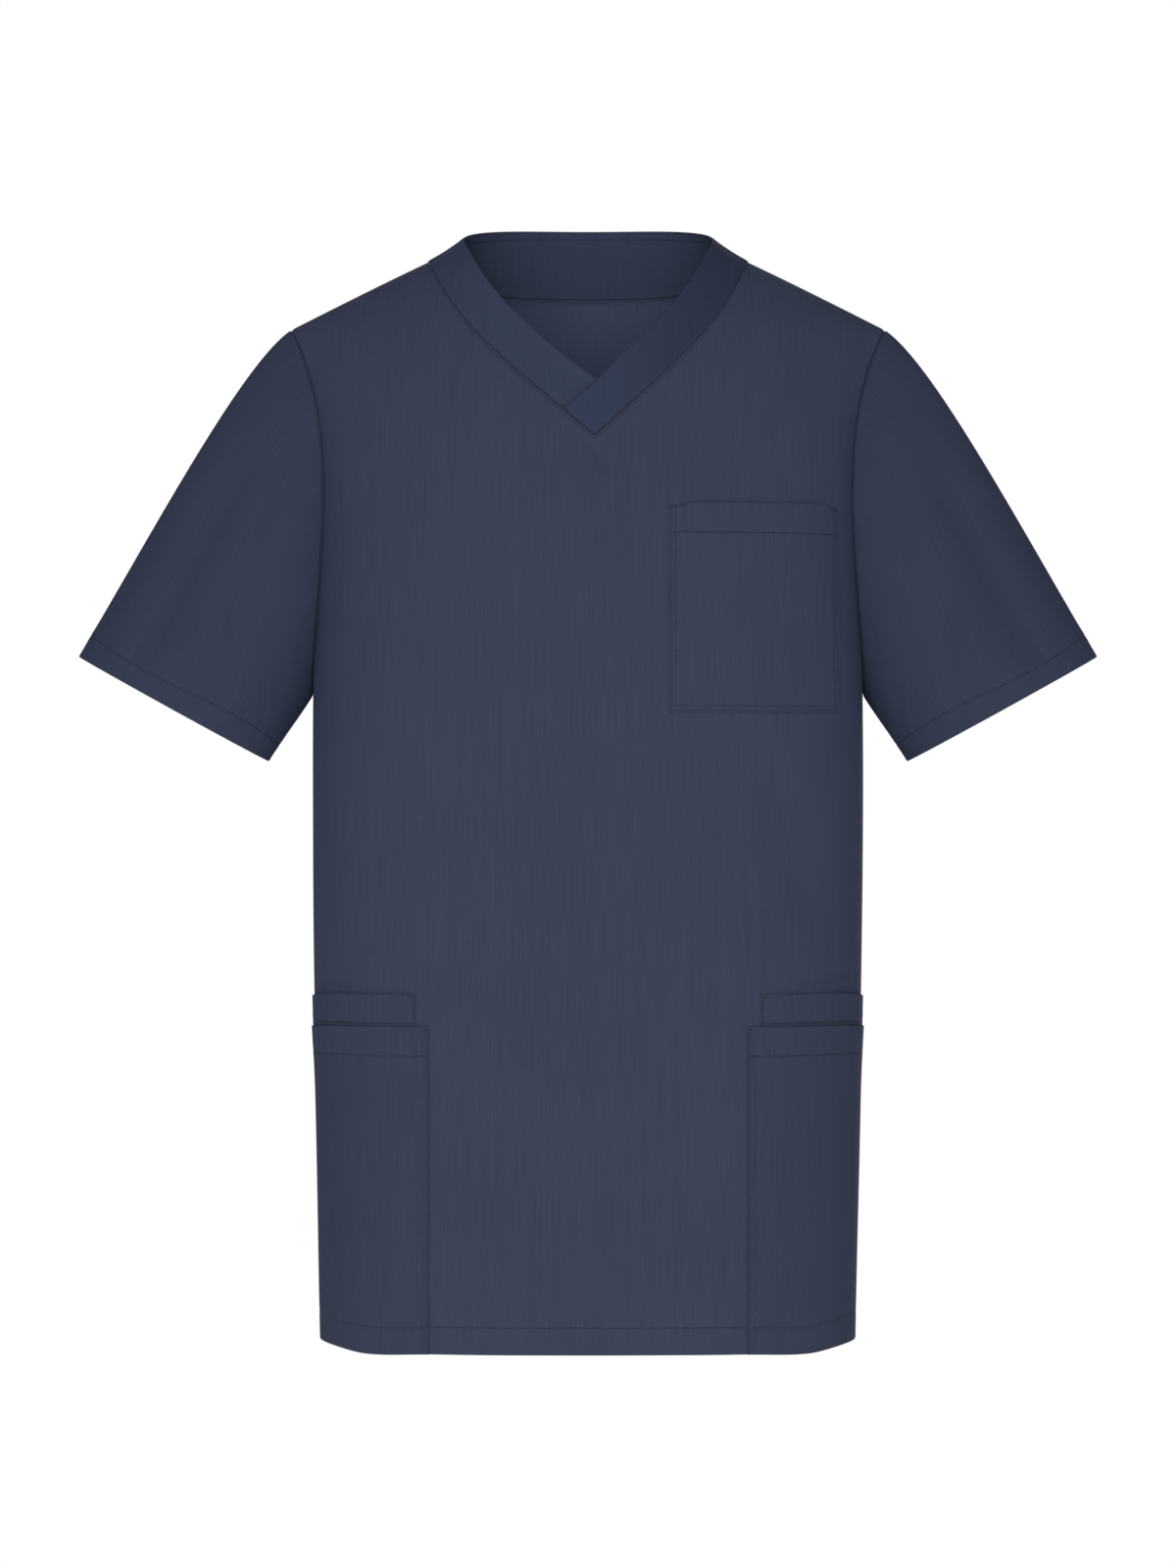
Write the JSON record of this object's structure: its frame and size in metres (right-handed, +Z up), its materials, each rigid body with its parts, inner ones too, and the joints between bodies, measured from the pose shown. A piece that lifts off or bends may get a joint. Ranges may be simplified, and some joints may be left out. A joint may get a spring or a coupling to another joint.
{
  "type": "medical scrub top",
  "caption": "Short-sleeved V-neck scrub tunic, hollow as worn, with a lapped neckband, a square breast pocket and layered side pockets at the hem.",
  "frame": {"origin": "midway between the two high shoulder points, where the wearer's shoulders carry the garment", "axes": "+Z up, -Y towards the front of the garment, +X towards the wearer's left"},
  "size_m": [0.7274, 0.241, 0.7976],
  "materials": {
    "body_cloth": "matte woven poly-cotton poplin, dyed through, with faint lengthwise slubs",
    "sleeve_cloth": "matte woven poly-cotton poplin, dyed through, with faint lengthwise slubs",
    "neckband_cloth": "matte woven poly-cotton poplin, dyed through, with faint lengthwise slubs",
    "pocket_cloth": "matte woven poly-cotton poplin, dyed through, with faint lengthwise slubs"
  },
  "bodies": {
    "root": {"front_panel": "body_cloth", "back_panel": "body_cloth", "sleeve_left": "sleeve_cloth", "sleeve_right": "sleeve_cloth", "neckband_left": "neckband_cloth", "neckband_right": "neckband_cloth", "neckband_back": "neckband_cloth", "breast_pocket": "pocket_cloth", "inner_pocket_left": "pocket_cloth", "inner_pocket_right": "pocket_cloth", "side_pocket_left": "pocket_cloth", "side_pocket_right": "pocket_cloth"}
  },
  "joints": []
}
